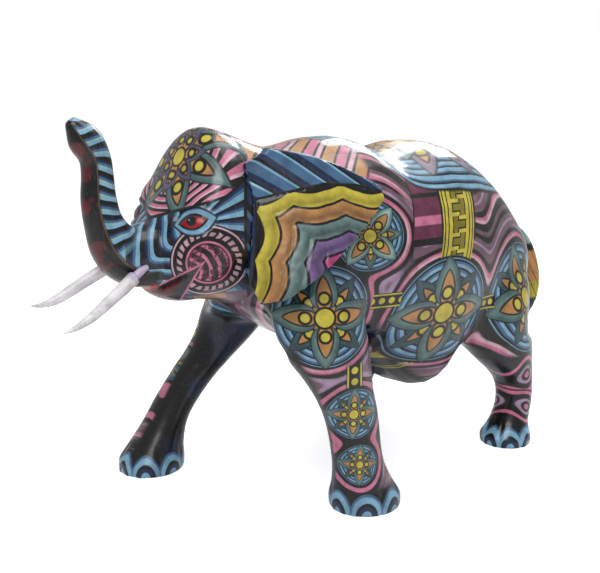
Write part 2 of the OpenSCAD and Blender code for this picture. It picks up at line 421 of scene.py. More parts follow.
def many_petals(brush: Brush, under: Coat, across: Field, up: Field, count: int, turn: float, petal: Petal,
                outer: Shade, inner: Shade) -> Coat:
    """Paints a ring of equal petals.

    Args:
        brush: The brush of the tree.
        under: The coat below.
        across: Offset from the wheel's middle, as a share of its radius.
        up: The other offset.
        count: How many petals there are.
        turn: Turn of the first one, in degrees.
        petal: The petal.
        outer: Paint of its outer leaf.
        inner: Paint of its inner leaf.

    Returns:
        The painted coat.
    """
    sector = 2 * math.pi / count
    angle = up.math("ARCTAN2", across) - math.radians(turn)
    folded = ((angle / sector).math("ADD", 0.5).math("FRACT") - 0.5) * sector
    reach = length_of(across, up)
    along, side = reach * folded.math("COSINE"), abs(reach * folded.math("SINE"))
    return petal.paint(brush, under, along, side, outer, inner)


def flow_bands() -> bpy.types.NodeTree:
    """Node group of the flowing bands that run round the wheels, by the distance from the nearest one."""
    group = Group("flow_bands", ["Distance", "Warmth"], [], {"Color": "NodeSocketColor"})
    brush = group.brush
    phase = group.number("Distance").cycle(19.0)
    cool = brush.stripes(phase, [
        (0.0, Shade.BLACK), (0.07, Shade.BLUSH), (0.14, Shade.ROSE), (0.21, Shade.BLACK), (0.34, Shade.MAUVE),
        (0.5, Shade.LILAC), (0.56, Shade.MAUVE), (0.68, Shade.BLACK), (0.8, Shade.MAUVE), (0.9, Shade.BLACK)])
    warm = brush.stripes(phase, [
        (0.0, Shade.BLACK), (0.07, Shade.ROSE), (0.18, Shade.BLACK), (0.3, Shade.LILAC), (0.38, Shade.MAUVE),
        (0.5, Shade.BLACK), (0.58, Shade.ROSE), (0.66, Shade.BLUSH), (0.72, Shade.MAUVE), (0.82, Shade.BLACK)])
    group.give("Color", brush.over(cool, group.number("Warmth"), warm))
    return group.tree


def key_strap() -> bpy.types.NodeTree:
    """Node group of the girth strap: yellow, with thin lines along its edges and a square wave between."""
    group = Group("key_strap", ["Across", "Along"], [],
                  {"Color": "NodeSocketColor", "Line": "NodeSocketFloat"})
    brush = group.brush
    across, along = group.number("Across"), group.number("Along")
    step = along.cycle(17.0)
    wave = (step.above(0.5, 0.02) * 2.0 - 1.0) * 2.7
    crossing = abs(abs(step - 0.5) - 0.25)
    key = (-abs(across - wave) + 1.6).most((crossing * -17.0 + 1.6).least(-abs(across) + 4.3))
    rails = (-abs(abs(across) - 8.0) + 0.4).most(-abs(abs(across) - 10.6) + 0.4)
    coat = brush.fill(Shade.YELLOW)
    coat = brush.over(coat, key.above(-0.8), Shade.BLACK)
    coat = brush.over(coat, key.above(0.0), Shade.OLIVE)
    group.give("Color", brush.over(coat, rails.above(0.0), Shade.BLACK))
    group.give("Line", rails.above(-0.1))
    return group.tree


def brushed_tone() -> bpy.types.NodeTree:
    """Node group that turns flat paint into brushed paint, with its varnish and its wear."""
    group = Group("brushed_tone", ["X", "Y", "Z", "Wear"], ["Paint"],
                  {"Color": "NodeSocketColor", "Roughness": "NodeSocketFloat", "Height": "NodeSocketFloat"})
    brush = group.brush
    x, y, z = (group.number(name) for name in ("X", "Y", "Z"))
    cloud = brush.noise(x, y, z, 0.16, 3.0)
    hairs = brush.noise(x * 0.35, y, z * 0.35 + x * 0.9, 1.1, 3.0)
    chips = brush.noise(x, y, z, 0.45, 5.0)
    dark, pale = (cloud * 1.6).math("ADD", 0.12, clamp=True), (-cloud * 1.5).math("ADD", 0.05, clamp=True)
    coat = brush.over(group.colour("Paint"), dark * 0.75, Shade.BLACK, "MULTIPLY")
    coat = brush.over(coat, pale * 0.3, Shade.RESIN, "SOFT_LIGHT")
    coat = brush.over(coat, (hairs * 2.2).math("ADD", 0.0, clamp=True) * 0.35, Shade.GREY, "MULTIPLY")
    coat = brush.over(coat, (-hairs * 2.0).math("ADD", -0.12, clamp=True) * 0.12, Shade.RESIN)
    bare = (chips - 0.2).above(0.1, 0.02) * group.number("Wear")
    group.give("Color", brush.over(coat, bare, Shade.WOOD))
    group.give("Roughness", cloud * 0.12 + hairs * 0.16 + bare * 0.3 + 0.3)
    group.give("Height", hairs * 0.5 + chips * 0.35 - bare * 0.8)
    return group.tree


@dataclass(frozen=True)
class Wheel:
    """A flower wheel on the animal's side, the same on both sides.

    Its middle is at x, at a distance from the middle plane, and at z. Turn is how far its face looks
    forwards from square to the side, in degrees.
    """

    x: float
    out: float
    z: float
    turn: float
    wide: float
    high: float
    petal: Shade = Shade.TEAL
    leaf: Shade = Shade.SEA
    spin: float = 0.0

    def offsets(self, x: Field, out: Field, z: Field) -> tuple[Field, Field]:
        """Offsets of each point from its middle, as shares of its radius."""
        turn = math.radians(self.turn)
        across = ((x - self.x) * math.cos(turn) + (out - self.out) * math.sin(turn)) / self.wide
        up = (z - self.z) / self.high
        if not self.spin:
            return across, up
        c, s = math.cos(math.radians(self.spin)), math.sin(math.radians(self.spin))
        return across * c + up * s, up * c - across * s


@dataclass(frozen=True)
class LegDecor:
    """What is painted on a leg.

    Foot is the sole's middle, as x and distance from the middle plane, and the leg's radius there. The
    ground is black below a height.
    """

    foot: tuple[float, float, float]
    wheels: tuple[Wheel, ...]
    medallions: tuple[Wheel, ...]
    dark_below: float


@dataclass(frozen=True)
class Varnish:
    """The clear gloss over a finish."""

    coat: float = 0.4
    coat_roughness: float = 0.14
    bump: float = 0.25
    bump_distance: float = 0.35 * MM
    wear: float = 0.0


class Finisher:
    """Makes the painted materials, from motifs that they share."""

    shoulder = Wheel(-62, 60, 102, 35, 25.5, 23.5)
    belly = Wheel(25, 56, 91, 0, 34, 31)
    hip = Wheel(94, 60, 90, -25, 27, 33, spin=12)
    nape = Wheel(-25, 52, 136, 10, 21, 18, Shade.MINT, Shade.TEAL, 45)
    saddle_x = 48.0
    saddle_long = 72.0
    saddle_wide = 49.0
    strap_x = 28.5
    strap_z = 116.0
    strap_lean = 0.314
    strap_half = 12.0
    strap_low_z = 62.0
    panel_wide = 21.0
    panel_z = 130.0
    withers_z = 163.0
    links = ((102.0, -12.5, 8.0), (91.0, 62.5, 5.5))

    def __init__(self) -> None:
        """Builds the shared motifs once."""
        self.wheel = flower_wheel()
        self.bands = flow_bands()
        self.strap = key_strap()
        self.tone = brushed_tone()

    def material(self, name: str, paint: Callable[[Brush], Coat], varnish: Varnish
                 ) -> bpy.types.Material:
        """A material of brushed paint under varnish.

        Args:
            name: Its name.
            paint: What lays its paint.
            varnish: The gloss over it.

        Returns:
            The material.
        """
        material = bpy.data.materials.new(name)
        material.use_nodes = True
        tree = material.node_tree
        brush = Brush(tree)
        shader = tree.nodes["Principled BSDF"]
        x, y, z = brush.place()
        tone = brush.group(self.tone, {"X": x, "Y": y, "Z": z, "Wear": varnish.wear, "Paint": paint(brush)})
        bump = tree.nodes.new("ShaderNodeBump")
        bump.inputs["Strength"].default_value = varnish.bump
        bump.inputs["Distance"].default_value = varnish.bump_distance
        tree.links.new(tone.outputs["Height"], bump.inputs["Height"])
        tree.links.new(bump.outputs[0], shader.inputs["Normal"])
        tree.links.new(tone.outputs["Color"], shader.inputs["Base Color"])
        tree.links.new(tone.outputs["Roughness"], shader.inputs["Roughness"])
        shader.inputs["Specular IOR Level"].default_value = 0.35
        shader.inputs["Coat Weight"].default_value = varnish.coat
        shader.inputs["Coat Roughness"].default_value = varnish.coat_roughness
        return material

    def wheels(self, brush: Brush, coat: Coat, x: Field, out: Field, z: Field,
               wheels: Sequence[Wheel]) -> Coat:
        """Paints flower wheels over a coat."""
        for wheel in wheels:
            across, up = wheel.offsets(x, out, z)
            values = {"Across": across, "Up": up, "Petal": wheel.petal, "Leaf": wheel.leaf}
            node = brush.group(self.wheel, values)
            coat = brush.over(coat, Field(brush.tree, node.outputs["Inside"]), node.outputs["Color"])
        return coat

    def nearest(self, x: Field, out: Field, z: Field, wheels: Sequence[Wheel]) -> Field:
        """Distance in millimetres from the rim of the nearest wheel."""
        found = None
        for wheel in wheels:
            across, up = wheel.offsets(x, out, z)
            far = (length_of(across, up) - 1.0) * (0.5 * (wheel.wide + wheel.high))
            found = far if found is None else found.math("SMOOTH_MIN", far, 12.0)
        return found

    def link(self, brush: Brush, coat: Coat, across: Field, along: Field, half_long: float
             ) -> Coat:
        """Paints a short black link with yellow edges and yellow ovals along its middle."""
        room = along.below(half_long).least(abs(across).below(4.2))
        coat = brush.over(coat, room, Shade.BLACK)
        coat = brush.over(coat, room * abs(across).between(2.9, 3.7), Shade.YELLOW)
        bead = length_of(across, (along.cycle(5.5) - 0.5) * 5.5)
        return brush.over(coat, room * bead.below(1.7), Shade.YELLOW)

    def hide(self, brush: Brush, leg_wheels: Sequence[Wheel] = ()) -> Coat:
        """Paints the body: flowing bands, wheels, saddle and girth strap.

        Args:
            brush: The brush of the material.
            leg_wheels: Wheels on this block's leg.

        Returns:
            The painted coat.
        """
        x, out, z = brush.place()
        side = [self.shoulder, self.belly, self.hip, self.nape]
        away = self.nearest(x, out, z, [*side, *leg_wheels])
        wobble = brush.noise(x, out, z, 0.03, 0.0) * 5.0
        warmth = (brush.noise(x, out, z, 0.02, 0.0) * 6.0).math("ADD", 0.5, clamp=True)
        bands = brush.group(self.bands, {"Distance": away + wobble, "Warmth": warmth})
        coat = bands.outputs["Color"]
        withers = z.above(self.withers_z, 4.0) * x.below(-14.0, 4.0)
        orange = brush.stripes((x * 0.6 + out * 0.8).cycle(16.0), [
            (0.0, Shade.OCHRE), (0.34, Shade.BLACK), (0.42, Shade.ROSE), (0.7, Shade.BLACK),
            (0.78, Shade.BLUSH), (0.92, Shade.BLACK)])
        coat = brush.over(coat, withers, orange)
        under = z.below(66.0, 3.0) * out.below(33.0, 5.0)
        coat = brush.over(coat, under.most(z.below(80.0, 5.0) * out.below(24.0, 4.0)), Shade.BLACK)
        coat = self.girth(brush, coat, x, out, z)
        coat = self.wheels(brush, coat, x, out, z, [self.nape])
        coat = self.saddle(brush, coat, x, out, z)
        coat = self.wheels(brush, coat, x, out, z, [self.belly, self.hip, self.shoulder])
        for link_z, link_x, half_long in self.links:
            coat = self.link(brush, coat, z - link_z, abs(x - link_x), half_long)
        return coat

    def girth(self, brush: Brush, coat: Coat, x: Field, out: Field, z: Field
              ) -> Coat:
        """Paints the girth strap, the striped panel before it, and their thin lines across the belly."""
        across = x - (z - self.strap_z) * self.strap_lean - self.strap_x
        strap = brush.group(self.strap, {"Across": across, "Along": z + 3.0})
        band = abs(across).below(self.strap_half)
        high = z.above(self.strap_low_z, 1.0)
        panel = across.between(-self.strap_half - self.panel_wide, -self.strap_half - 1.5) * z.above(self.panel_z)
        rows = brush.stripes(z.cycle(22.0), [
            (0.0, Shade.PLUM), (0.3, Shade.ROSE), (0.5, Shade.PLUM), (0.9, Shade.BLACK)])
        edges = across.between(-self.strap_half - self.panel_wide - 1.0, self.strap_half + 1.5)
        coat = brush.layers(
            coat,
            (edges * z.above(self.panel_z - 1.5), Shade.BLACK),
            (panel, rows),
            (band * high, strap.outputs["Color"]))
        lines = Field(brush.tree, strap.outputs["Line"])
        return brush.over(coat, band * z.below(self.strap_low_z, 1.0) * lines, Shade.YELLOW)

    def saddle(self, brush: Brush, coat: Coat, x: Field, out: Field, z: Field
               ) -> Coat:
        """Paints the big wheel on the back."""
        across, up = (x - self.saddle_x) / self.saddle_long, out / self.saddle_wide
        reach = length_of(across, up)
        disc = brush.stripes((reach * 13.0).math("FRACT"), [
            (0.0, Shade.BLACK), (0.26, Shade.SKY), (0.8, Shade.BLUE)])
        wheel = brush.over(disc, reach.above(0.975, 0.015), Shade.BLACK)
        petal = Petal(root=0.3, tip=0.86, half=0.14, seed_at=0.52, seed=0.05, line=0.02)
        wheel = many_petals(brush, wheel, across, up, 12, 15.0, petal, Shade.LILAC, Shade.OCHRE)
        mint = Petal(root=0.18, tip=0.62, half=0.13, seed_at=0.36, seed=0.04, line=0.018)
        wheel = many_petals(brush, wheel, across, up, 12, 0.0, mint, Shade.MINT, Shade.OCHRE)
        wheel = brush.layers(
            wheel,
            (reach.below(0.24, 0.012), Shade.BLACK),
            (reach.below(0.225, 0.012), Shade.OCHRE),
            (reach.below(0.13, 0.012), Shade.BLACK),
            (reach.below(0.11, 0.012), Shade.YELLOW))
        return brush.over(coat, reach.below(1.0, 0.015) * z.above(120.0), wheel)

    def feet(self, brush: Brush, coat: Coat, foot: tuple[float, float, float]
             ) -> Coat:
        """Paints the toes as pale double arcs on black.

        Args:
            brush: The brush of the material.
            coat: The coat below.
            foot: The sole's middle, as x and distance from the middle plane, and the leg's radius.

        Returns:
            The painted coat.
        """
        x, out, z = brush.place()
        sector = math.radians(52)
        angle = (out - foot[1]).math("ARCTAN2", x - foot[0])
        side = ((angle / sector).math("FRACT") - 0.5) * (sector * foot[2])
        arc = length_of(side, z * 0.72)
        toes = brush.stripes(arc.cycle(12.0), [
            (0.0, Shade.SKY), (0.2, Shade.NAVY), (0.34, Shade.BLACK), (0.44, Shade.SKY), (0.62, Shade.BLUE),
            (0.7, Shade.BLACK)])
        return brush.over(coat, arc.below(8.6) * z.below(12.0, 1.0), toes)

    def medallions(self, brush: Brush, coat: Coat, x: Field, out: Field, z: Field,
                   places: Sequence[Wheel]) -> Coat:
        """Paints dark ovals with a rose outline and a pale ring inside."""
        for place in places:
            across, up = place.offsets(x, out, z)
            reach = length_of(across, up + across * 0.25)
            coat = brush.layers(
                coat,
                (reach.below(1.35, 0.05), Shade.BLACK),
                (reach.between(0.98, 1.22, 0.06), Shade.ROSE),
                (reach.between(0.42, 0.62, 0.06), Shade.LILAC),
                (reach.below(0.22, 0.06), Shade.ROSE))
        return coat

    def leg(self, decor: "LegDecor") -> Callable[[Brush], Coat]:
        """What paints a leg block.

        Args:
            decor: Where its decor is.

        Returns:
            The painter.
        """

        def paint(brush: Brush) -> Coat:
            """Paints the leg block."""
            coat = self.hide(brush, decor.wheels)
            x, out, z = brush.place()
            foot_x, foot_out, _ = decor.foot
            inner = out.below(foot_out - 1.0, 4.0) * z.below(88.0, 6.0)
            coat = brush.over(coat, inner.most(z.below(decor.dark_below, 3.0)), Shade.BLACK)
            glow = brush.noise(x, out, z, 0.05, 1.0).above(0.06, 0.12) * inner
            coat = brush.over(coat, glow * 0.6, Shade.NAVY)
            outside = out.above(foot_out - 3.0, 2.0)
            if decor.wheels:
                near = self.nearest(x, out, z, decor.wheels)
                coat = brush.over(coat, near.between(-1.0, 5.0) * outside, Shade.BLACK)
                coat = brush.over(coat, near.between(1.2, 3.2) * z.above(12.0) * outside, Shade.ROSE)
                with_wheels = self.wheels(brush, coat, x, out, z, decor.wheels)
                coat = brush.over(coat, outside, with_wheels)
                top = decor.wheels[0]
                sideways = (x - top.x) * 0.8 + (out - top.out) * 0.5
                coat = self.link(brush, coat, sideways, abs(z - 73.5) + (-outside + 1.0) * 50.0, 5.5)
            coat = self.medallions(brush, coat, x, out, z, decor.medallions)
            return self.feet(brush, coat, decor.foot)

        return paint

    def head(self, brush: Brush) -> Coat:
        """Paints the head: brow wheel, eye, blue feathers, cheek spiral and mouth."""
        x, out, z = brush.place()
        face = Face(brush, x, out, z)
        coat = face.blues()
        coat = face.cheek(coat)
        coat = face.mouth(coat)
        coat = face.brow(coat)
        coat = face.ear_strip(coat)
        return face.eye(coat)

    def trunk(self, brush: Brush) -> Coat:
        """Paints the trunk: blue rings behind, black and dark red in front, a red nostril."""
        x, out, z = brush.place()
        station, around = brush.attribute("station"), brush.attribute("around")
        wobble = brush.noise(x, out, z, 0.09, 1.0) * 2.4
        rings = brush.stripes((station - around * 7.0 + wobble).cycle(6.2),
                              [(0.0, Shade.BLACK), (0.3, Shade.SKY), (0.56, Shade.MINT), (0.68, Shade.BLUE),
                               (0.86, Shade.NAVY)])
        coat = brush.over(Face(brush, x, out, z).blues(), station.above(32.0, 6.0), rings)
        front = around.above(0.62, 0.03) * station.above(14.0, 5.0)
        coat = brush.over(coat, front, Shade.BLACK)
        patches = brush.noise(x, out, z, 0.11, 2.0).above(0.03, 0.06) * around.above(0.72, 0.05)
        patches = patches * station.above(14.0, 5.0)
        coat = brush.over(coat, patches, Shade.BLOOD)
        edge = around.between(0.635, 0.652, 0.015) * station.above(20.0, 4.0)
        coat = brush.over(coat, edge * 0.3, Shade.OCHRE)
        lip = station.between(4.0, 17.0, 1.5) * around.above(0.8, 0.05)
        coat = brush.over(coat, lip, Shade.RED)
        tip = station.above(92.0, 1.0) * around.above(0.5, 0.05)
        coat = brush.over(coat, tip, Shade.BLACK)
        return brush.over(coat, station.between(94.0, 106.0, 1.0) * around.above(0.6, 0.05), Shade.BLOOD)

    def ear(self, brush: Brush) -> Coat:
        """Paints an ear: nested scalloped bands below the fold, blue feathers above it."""
        x, out, z = brush.place()
        front, fold, edge = (brush.attribute(name) for name in ("from_front", "below_fold", "from_edge"))
        first = 8.5
        upright, level = front - first, fold * 1.12
        scallop_a = abs((z * (math.pi / 22.0) + 0.4).math("SINE")) * 3.6
        scallop_b = abs((x * (math.pi / 21.0) + 0.9).math("SINE")) * 3.6
        band = (upright - scallop_a + 1.4).least(level - scallop_b + 1.4)
        shades = [Shade.YELLOW, Shade.OCHRE, Shade.TEAL, Shade.VIOLET, Shade.MAGENTA]
        coat = brush.fill(Shade.NAVY)
        coat = brush.over(coat, upright.above(-0.9), Shade.BLACK)
        for index, shade in enumerate(shades):
            start = 7.6 * index
            coat = brush.over(coat, band.above(start + 0.3 * index), Shade.BLACK)
            coat = brush.over(coat, band.above(start + 1.3 + 0.3 * index), shade)
            deep = band.between(start + 4.2, start + 7.8, 3.0) * 0.45
            coat = brush.over(coat, deep, Shade.OLIVE if index == 0 else Shade.GREY, "MULTIPLY")
        quill = (z + x * 0.75 - 102.5).cycle(10.4)
        feathers = brush.stripes(quill, [
            (0.0, Shade.BLACK), (0.13, Shade.NAVY), (0.4, Shade.BLUE), (0.88, Shade.SKY)])
        coat = brush.over(coat, fold.below(0.6), Shade.BLACK)
        coat = brush.over(coat, fold.below(-0.9), feathers)
        strip = brush.stripes((z * 0.8 + x).cycle(13.0), [
            (0.0, Shade.BLACK), (0.2, Shade.NAVY), (0.7, Shade.BLUE)])
        coat = brush.over(coat, upright.below(-2.2), strip)
        return brush.over(coat, edge.below(1.3), Shade.BLACK)

    def tail(self, brush: Brush) -> Coat:
        """Paints the tail in mint, black, ochre and green lengths."""
        x, out, z = brush.place()
        coat = brush.stripes(((-z + 122.0) / 62.0).most(0.0), [
            (0.0, Shade.MINT), (0.22, Shade.BLACK), (0.3, Shade.OCHRE), (0.62, Shade.YELLOW), (0.78, Shade.SEA),
            (0.95, Shade.OLIVE)])
        line = (z * 0.5 + out * 0.8 + x * 0.7).cycle(5.0).below(0.12, 0.06)
        return brush.over(coat, line * 0.7, Shade.BLACK)

    def tusk(self, brush: Brush) -> Coat:
        """Paints a tusk white, with violet painted shade along its top, and stained at its root."""
        x, out, z = brush.place()
        coat = brush.fill(Shade.RESIN)
        # painted shade: a violet tint along the top of the tusk
        shaded_top = (z - x * -0.42 - 65.6).above(0.6, 2.5)
        coat = brush.over(coat, shaded_top * 0.7, Shade.VIOLET_TIP)
        root = x.above(-139.0, 5.0) * (brush.noise(x, out, z, 0.25, 2.0).above(-0.02, 0.25))
        return brush.over(coat, root * 0.25, Shade.ROSE)

    def dowel(self, brush: Brush) -> Coat:
        """Bare wood with its grain."""
        x, out, z = brush.place()
        coat = brush.fill(Shade.WOOD)
        grain = brush.noise(x * 0.2, out, z, 1.2, 3.0).above(0.05, 0.2)
        return brush.over(coat, grain * 0.35, Shade.OCHRE)


class Face:
    """The painting of the head. Its flat looks forwards and sideways, and mirrors to the other cheek."""

    turn = math.radians(40)
    eye_at = (-68.3, 147.6)
    cheek_at = (-61.5, 129.5)
    lip_corner = (-65.0, 128.5)

    def __init__(self, brush: Brush, x: Field, out: Field, z: Field) -> None:
        """Sets up its flat.

        Args:
            brush: The brush of the material.
            x: Position along the animal.
            out: Distance from the middle plane.
            z: Height.
        """
        self.brush = brush
        self.x, self.out, self.z = x, out, z
        self.flat = x * math.cos(self.turn) + out * math.sin(self.turn)

    def past(self, start: tuple[float, float], end: tuple[float, float]) -> Field:
        """Distance to the left of a line from start to end on the flat."""
        length = math.dist(start, end)
        dx, dz = (end[0] - start[0]) / length, (end[1] - start[1]) / length
        return (self.z - start[1]) * dx - (self.flat - start[0]) * dz

    def blues(self) -> Coat:
        """Paints the blue waves in front of the eye, and the feathers behind it."""
        brush = self.brush
        wobble = brush.noise(self.x, self.out, self.z, 0.08, 1.0) * 3.0
        before = -self.flat + self.eye_at[0]
        beneath = (-self.z + self.eye_at[1]) * 1.1
        nest = before.math("SMOOTH_MAX", beneath, 7.0) + wobble
        waves = brush.stripes(nest.cycle(5.6), [
            (0.0, Shade.BLACK), (0.22, Shade.SKY), (0.5, Shade.BLUE), (0.68, Shade.NAVY), (0.86, Shade.BLACK)])
        angle = (self.z - 148.0).math("ARCTAN2", self.flat + 66.0)
        plumes = brush.stripes((angle + wobble * 0.012).cycle(0.34), [
            (0.0, Shade.BLACK), (0.24, Shade.SKY), (0.62, Shade.BLUE), (0.8, Shade.NAVY)])
        return brush.over(waves, self.flat.above(-63.0, 1.0), plumes)

    def cheek(self, coat: Coat) -> Coat:
        """Paints the cheek: a ring of pale dashes round rose arcs."""
        brush = self.brush
        across, up = self.flat - self.cheek_at[0], self.z - self.cheek_at[1]
        reach = length_of(across, up)
        angle = up.math("ARCTAN2", across)
        coat = brush.over(coat, reach.below(17.6), Shade.BLACK)
        coat = brush.over(coat, reach.between(16.2, 16.9), Shade.BLUSH)
        rough = brush.noise(self.x, self.out, self.z, 0.35, 1.0)
        dash = (angle + reach * 0.03 + rough * 0.12).cycle(2 * math.pi / 26).between(0.22, 0.8, 0.14)
        dash = dash * (reach + rough * 2.0).between(12.0, 14.4)
        coat = brush.over(coat, dash * 0.8, Shade.BLUSH)
        coat = brush.over(coat, reach.between(9.3, 10.2), Shade.ROSE)
        apex_across, apex_up = self.flat - self.lip_corner[0] + 5.0, self.z - self.lip_corner[1] + 2.5
        ripple = (length_of(apex_across, apex_up) + rough * 1.4).cycle(4.1)
        coat = brush.over(coat, ripple.between(0.12, 0.5, 0.08) * reach.below(8.7), Shade.ROSE)
        gaps = rough.between(0.03, 0.12, 0.04) * reach.between(2.4, 8.9)
        coat = brush.over(coat, gaps, Shade.PLUM)
        chin = self.z.below(112.5) * self.flat.above(-74.0)
        leaf = -abs(self.z - 110.0) + 1.7
        coat = brush.over(coat, chin, Shade.MAUVE)
        return brush.over(coat, leaf.above(0.0) * self.flat.between(-70.0, -56.0), Shade.OCHRE)

    def mouth(self, coat: Coat) -> Coat:
        """Paints the dark jaw, the red mouth and the rose line of the lip."""
        brush = self.brush
        lip = self.past(self.lip_corner, (-85.0, 117.5))
        jaw = self.past((-76.0, 111.0), self.lip_corner)
        coat = brush.over(coat, lip.above(-1.0) * jaw.above(-0.8), Shade.ROSE)
        coat = brush.over(coat, lip.above(0.0) * jaw.above(0.0), Shade.GREY)
        tongue = self.past((-83.0, 108.5), (-71.5, 124.8))
        return brush.over(coat, lip.above(1.2) * tongue.above(0.0), Shade.BLOOD)

    def brow(self, coat: Coat) -> Coat:
        """Paints the wheel on the forehead, on rose arcs."""
        brush = self.brush
        across = self.out / 30.0
        up = ((self.x + 101.0) * 0.66 + (self.z - 175.0) * 0.75) / 30.0
        reach = length_of(across, up)
        arcs = brush.stripes((reach * 8.0).math("FRACT"), [
            (0.0, Shade.BLACK), (0.42, Shade.ROSE), (0.8, Shade.BLUSH)])
        outer = Petal(root=0.26, tip=1.06, half=0.27, seed_at=0.55, seed=0.075)
        wheel = many_petals(brush, arcs, across, up, 7, -8.0, outer, Shade.TEAL, Shade.OCHRE)
        inner = Petal(root=0.12, tip=0.56, half=0.16, seed_at=0.3, seed=0.045, line=0.028)
        wheel = many_petals(brush, wheel, across, up, 7, 17.0, inner, Shade.VIOLET, Shade.OCHRE)
        wheel = brush.over(wheel, reach.below(0.17, 0.02), Shade.BLACK)
        wheel = brush.over(wheel, reach.below(0.13, 0.02), Shade.YELLOW)
        bend = ((self.flat + 55.0) / 6.0).math("MAXIMUM", 0.0)
        above = self.z - (bend * bend * 3.2 + (self.flat + 75.0) * 0.3 + 153.0)
        coat = brush.over(coat, above.above(-1.4), Shade.BLACK)
        return brush.over(coat, above.above(0.0), wheel)

    def ear_strip(self, coat: Coat) -> Coat:
        """Paints the dark strip where the head meets the ear."""
        brush = self.brush
        strip = brush.stripes((self.z + self.flat * 1.4).cycle(15.0), [
            (0.0, Shade.BLACK), (0.25, Shade.NAVY), (0.8, Shade.BLUE)])
        coat = brush.over(coat, self.flat.above(-46.0) * self.z.below(172.0), Shade.BLACK)
        return brush.over(coat, self.flat.above(-44.6) * self.z.below(172.0), strip)

    def eye(self, coat: Coat) -> Coat:
        """Paints the red eye, its pupil and its rings."""
        brush = self.brush
        across, up = self.flat - self.eye_at[0], self.z - self.eye_at[1]
        tilt = math.radians(12)
        along = across * math.cos(tilt) + up * math.sin(tilt)
        side = up * math.cos(tilt) - across * math.sin(tilt)
        rear = (along * 0.22).most(0.0)
        lid = abs(side) - (-(along * along) / (6.4 * 6.4) + 1.0) * 2.7 - rear
        coat = brush.layers(
            coat,
            (lid.below(3.6), Shade.BLACK),
            (lid.below(2.8), Shade.BLUE),
            (lid.below(2.3), Shade.SKY),
            ((lid + rear).below(0.9), Shade.BLACK),
            ((lid + rear).below(-0.2), Shade.RED))
        pupil = length_of(along + 0.6, (side - 0.8) * 1.1)
        coat = brush.over(coat, (lid + rear).below(-0.2) * pupil.below(2.4), Shade.BLACK)
        glint = length_of(along + 1.6, side - 1.2)
        return brush.over(coat, glint.below(0.45) * 0.6, Shade.SKY)


# ---------------------------------------------------------------- wood work


def pick(obj: bpy.types.Object) -> None:
    """Makes an object the only one selected, and active."""
    bpy.ops.object.select_all(action="DESELECT")
    obj.select_set(True)
    bpy.context.view_layer.objects.active = obj


def work(obj: bpy.types.Object, kind: str, **settings: object) -> None:
    """Gives an object a modifier of that kind and applies it."""
    modifier = obj.modifiers.new(kind.title(), kind)
    for name, value in settings.items():
        setattr(modifier, name, value)
    pick(obj)
    bpy.ops.object.modifier_apply(modifier=modifier.name)


def blank_of(nodes: Sequence[str], name: str) -> bpy.types.Object:
    """A merged copy of CAD nodes to carve.

    Args:
        nodes: The nodes.
        name: The copy's name.

    Returns:
        The copy.
    """
    copies = []
    for node in nodes:
        copy = bpy.data.objects.new(f"{node}_copy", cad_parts[node].data.copy())
        bpy.context.scene.collection.objects.link(copy)
        copies.append(copy)
    pick(copies[0])
    for copy in copies[1:]:
        copy.select_set(True)
    if len(copies) > 1:
        bpy.ops.object.join()
    blank = bpy.context.view_layer.objects.active
    blank.name = name
    blank.data.materials.clear()
    bpy.ops.object.mode_set(mode="EDIT")
    bpy.ops.mesh.select_all(action="SELECT")
    bpy.ops.mesh.remove_doubles(threshold=0.001 * MM)
    bpy.ops.object.mode_set(mode="OBJECT")
    return blank


def points_of(obj: bpy.types.Object) -> tuple[np.ndarray, np.ndarray]:
    """Places in millimetres and normals of a mesh's points."""
    mesh = obj.data
    places = np.empty(len(mesh.vertices) * 3)
    normals = np.empty(len(mesh.vertices) * 3)
    mesh.vertices.foreach_get("co", places)
    mesh.vertices.foreach_get("normal", normals)
    return places.reshape(-1, 3) / MM, normals.reshape(-1, 3)


def carve(obj: bpy.types.Object, places: np.ndarray) -> None:
    """Moves a mesh's points to new places in millimetres."""
    obj.data.vertices.foreach_set("co", (places * MM).ravel())
    obj.data.update()


def keep_field(obj: bpy.types.Object, name: str, values: np.ndarray) -> None:
    """Stores a number for each point of a mesh."""
    attribute = obj.data.attributes.new(name, "FLOAT", "POINT")
    attribute.data.foreach_set("value", values.astype(np.float32))


def bump(places: np.ndarray, centre: Sequence[float], reach: Sequence[float]) -> np.ndarray:
    """Soft round mask about a centre, mirrored to both sides.

    Args:
        places: The points.
        centre: Its middle, on the left side.
        reach: Its reach along x, y and z.

    Returns:
        A share from 0 to 1 for each point.
    """
    mirrored = places.copy()
    mirrored[:, 1] = -np.abs(mirrored[:, 1])
    far = (((mirrored - np.array(centre)) / np.array(reach)) ** 2).sum(axis=1)
    return np.exp(-far)


def smooth_line(points: Sequence[Sequence[float]], count: int) -> np.ndarray:
    """Points along the smooth curve through a few given ones."""
    keys = np.array(points, float)
    ends = np.vstack([2 * keys[0] - keys[1], keys, 2 * keys[-1] - keys[-2]])
    result = []
    for way in np.linspace(0, len(keys) - 1 - 1e-9, count):
        i, u = int(way), way - int(way)
        a, b, c, d = ends[i], ends[i + 1], ends[i + 2], ends[i + 3]
        result.append(b + 0.5 * u * (c - a + u * (2 * a - 5 * b + 4 * c - d + u * (3 * (b - c) + d - a))))
    return np.array(result)


def box_between(low: Sequence[float], high: Sequence[float]) -> bpy.types.Object:
    """A block from its lowest to its highest corner, in millimetres, to saw with."""
    middle = [(a + b) / 2 * MM for a, b in zip(low, high)]
    size = [(b - a) * MM for a, b in zip(low, high)]
    bpy.ops.object.select_all(action="DESELECT")
    bpy.ops.mesh.primitive_cube_add(size=1, location=middle, scale=size)
    block = bpy.context.view_layer.objects.active
    bpy.ops.object.transform_apply(location=True, rotation=True, scale=True)
    return block


